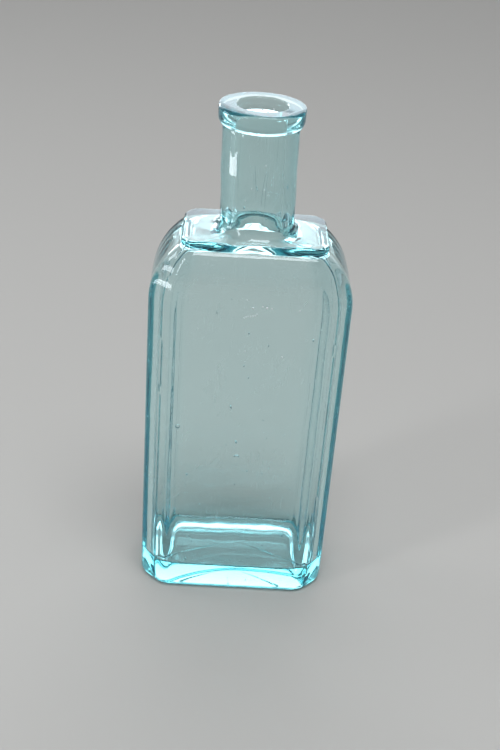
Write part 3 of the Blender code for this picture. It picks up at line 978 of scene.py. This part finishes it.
def make_bottle():
    mesh_data = bmesh.new()
    outside = underside_rings() + shoulder_rings() + step_rings() + neck_and_lip_rings()
    loft(mesh_data, outside + cavity_rings())
    make_uneven(mesh_data, len(outside) * 4 * QUARTER_STEPS)
    rng = random.Random(SEED)
    add_seeds(mesh_data, rng)
    add_air_lines(mesh_data, rng)
    add_front_marks(mesh_data)
    bottle = finished("bottle_glass", mesh_data, glass_material())
    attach(bottle, "root")
    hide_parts("bottle_body", "neck", "applied_lip")


# The stage

def area_light(name, place, size, radiance, lights_dull_surfaces, shows_through_glass):
    light = bpy.data.lights.new(name, "AREA")
    light.shape = "RECTANGLE"
    light.size, light.size_y = size
    light.energy = radiance * math.pi * size[0] * size[1]
    light.color = SKY_TINT
    obj = bpy.data.objects.new(name, light)
    obj.visible_camera = False
    obj.visible_diffuse = lights_dull_surfaces
    obj.visible_transmission = shows_through_glass
    obj.location = place
    to_bottle = Vector((0.0, 0.0, TOTAL_HEIGHT / 2)) - Vector(place)
    obj.rotation_euler = to_bottle.to_track_quat("-Z", "Y").to_euler()
    bpy.context.scene.collection.objects.link(obj)


def make_world():
    """The camera sees a plain pale backdrop beyond the floor. Gloss and glass show that backdrop
    with the window of light in it, and dull surfaces are lit by a dimmer dome and that window."""
    world = bpy.data.worlds.new("studio")
    bpy.context.scene.world = world
    world.use_nodes = True
    nodes, links = world.node_tree.nodes, world.node_tree.links
    background = nodes["Background"]
    split = nodes.new("ShaderNodeSeparateXYZ")
    links.new(nodes.new("ShaderNodeTexCoord").outputs["Generated"], split.inputs["Vector"])
    above_foot = soft_step(nodes, links, split.outputs["Z"], WINDOW_FOOT)
    between_sides = soft_step(nodes, links, split.outputs["Y"], WINDOW_SIDES)
    window = maths(nodes, links, "MULTIPLY", above_foot, between_sides)
    window = maths(nodes, links, "MULTIPLY", window, WINDOW_LEVEL)
    rays = nodes.new("ShaderNodeLightPath").outputs
    in_glass = maths(nodes, links, "MAXIMUM", rays["Is Glossy Ray"], rays["Is Transmission Ray"])
    shows_backdrop = maths(nodes, links, "MAXIMUM", rays["Is Camera Ray"], in_glass)
    more = BACKDROP_LEVEL - DOME_LEVEL
    plain = maths(nodes, links, "MULTIPLY_ADD", shows_backdrop, more, DOME_LEVEL)
    shows_window = maths(nodes, links, "SUBTRACT", 1.0, rays["Is Camera Ray"])
    level = maths(nodes, links, "MULTIPLY_ADD", window, shows_window, plain)
    links.new(level, background.inputs["Strength"])
    background.inputs["Color"].default_value = (*SKY_TINT, 1.0)


def make_stage():
    mesh_data = bmesh.new()
    bmesh.ops.create_circle(
        mesh_data, cap_ends=True, segments=GROUND_SEGMENTS, radius=GROUND_RADIUS)
    floor = finished("floor", mesh_data, floor_material())
    floor.location.z = -GROUND_GAP
    make_world()
    for lamp in LAMPS:
        area_light(*lamp)


def make_camera():
    camera = bpy.data.cameras.new("photo_camera")
    camera.sensor_fit = "AUTO"
    camera.sensor_width = SENSOR_MM
    camera.lens = FOCAL_LENGTH_PX / FRAME_LONG_SIDE_PX * SENSOR_MM
    camera.clip_start, camera.clip_end = CAMERA_CLIP
    obj = bpy.data.objects.new("photo_camera", camera)
    turn = Matrix.Rotation(CAMERA_TURN, 4, "Z") @ Matrix.Rotation(CAMERA_TILT, 4, "X")
    turn = turn @ Matrix.Rotation(CAMERA_ROLL, 4, "Z")
    obj.matrix_world = Matrix.Translation(CAMERA_PLACE) @ turn
    bpy.context.scene.collection.objects.link(obj)
    bpy.context.scene.camera = obj


def set_light_paths():
    cycles = bpy.context.scene.cycles
    cycles.max_bounces = cycles.transmission_bounces = cycles.glossy_bounces = GLASS_BOUNCES


make_camera()
make_stage()
make_bottle()
make_flecks()
bpy.context.scene.view_settings.view_transform = "Standard"
set_light_paths()
